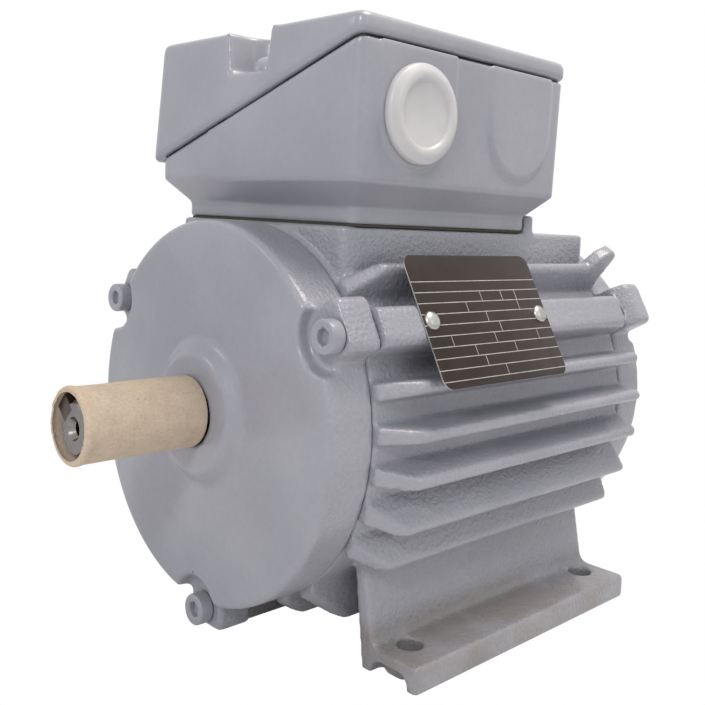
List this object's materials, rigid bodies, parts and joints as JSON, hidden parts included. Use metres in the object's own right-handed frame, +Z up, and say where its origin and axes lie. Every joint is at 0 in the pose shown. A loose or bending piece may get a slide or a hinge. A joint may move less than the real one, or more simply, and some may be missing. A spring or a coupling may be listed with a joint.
{
  "type": "three-phase induction motor",
  "caption": "Foot-mounted induction motor with a finned cast housing, wedge-shaped terminal box and keyed shaft under a cardboard sleeve.",
  "frame": {"origin": "centre of the four foot holes, on the ground plane under the feet", "axes": "+X to the right seen from the drive end, +Y along the shaft towards the closed rear end, +Z up; the shaft points to -Y"},
  "size_m": [0.1235, 0.1798, 0.1675],
  "materials": {
    "enamel": "satin blue-grey enamel over a sand casting",
    "lamination": "stacked sheet steel",
    "copper": "varnished copper wire",
    "winding": "bandaged and varnished winding",
    "bright_steel": "turned and ground",
    "zinc_steel": "zinc plated",
    "cast_aluminium": "die cast",
    "brass": "plain brass",
    "rubber": "matt",
    "gasket": "matt fibre gasket",
    "phenolic": "moulded phenolic",
    "lead_sleeve": "insulated wire",
    "plate_black": "printed black",
    "clear_plastic": "translucent natural polyethylene",
    "cardboard": "matt fibrous board"
  },
  "bodies": {
    "frame": {"stator_housing": "enamel", "drive_end_shield": "enamel", "rear_end_shield": "enamel", "drive_end_screws": "enamel", "rear_end_screws": "enamel", "stator_core": "lamination", "slot_coils": "copper", "front_end_turns": "winding", "rear_end_turns": "winding", "drive_bearing_outer_ring": "bright_steel", "drive_bearing_closures": "bright_steel", "rear_bearing_outer_ring": "bright_steel", "rear_bearing_closures": "bright_steel", "shaft_seal": "rubber", "wave_spring": "bright_steel", "terminal_box_base": "enamel", "terminal_box_lid": "enamel", "lid_gasket": "rubber", "box_gasket": "gasket", "lid_screws": "enamel", "box_screws": "zinc_steel", "terminal_board": "phenolic", "terminal_studs": "brass", "terminal_nuts": "brass", "terminal_links": "brass", "cable_lugs": "zinc_steel", "winding_leads": "lead_sleeve", "board_screws": "zinc_steel", "earth_clamp": "brass", "earth_screw": "brass", "rating_plate": "plate_black", "plate_rivets": "bright_steel"},
    "rotor": {"shaft": "bright_steel", "shaft_key": "bright_steel", "rotor_core": "lamination", "rotor_cage": "cast_aluminium", "drive_bearing_inner_ring": "bright_steel", "rear_bearing_inner_ring": "bright_steel"},
    "drive_ball_cage": {"drive_bearing_ball_cage": "bright_steel"},
    "rear_ball_cage": {"rear_bearing_ball_cage": "bright_steel"},
    "sleeve": {"shaft_sleeve": "cardboard"},
    "plug": {"entry_plug": "clear_plastic"}
  },
  "joints": [
    {"name": "rotor_spin", "type": "hinge", "parent": "frame", "child": "rotor", "pos_m": [0, -0.06, 0.063], "axis": [0, 1, 0], "continuous": true},
    {"name": "drive_cage_spin", "type": "hinge", "parent": "frame", "child": "drive_ball_cage", "pos_m": [0, -0.06, 0.063], "axis": [0, 1, 0], "continuous": true},
    {"name": "rear_cage_spin", "type": "hinge", "parent": "frame", "child": "rear_ball_cage", "pos_m": [0, -0.06, 0.063], "axis": [0, 1, 0], "continuous": true},
    {"name": "sleeve_slide", "type": "slide", "parent": "rotor", "child": "sleeve", "axis": [0, -1, 0], "range_m": [0, 0.04]},
    {"name": "plug_slide", "type": "slide", "parent": "frame", "child": "plug", "axis": [1, 0, 0], "range_m": [0, 0.02]}
  ],
  "couplings": [
    {"joint": "drive_cage_spin", "follows": "rotor_spin", "ratio": 0.381},
    {"joint": "rear_cage_spin", "follows": "rotor_spin", "ratio": 0.381}
  ]
}
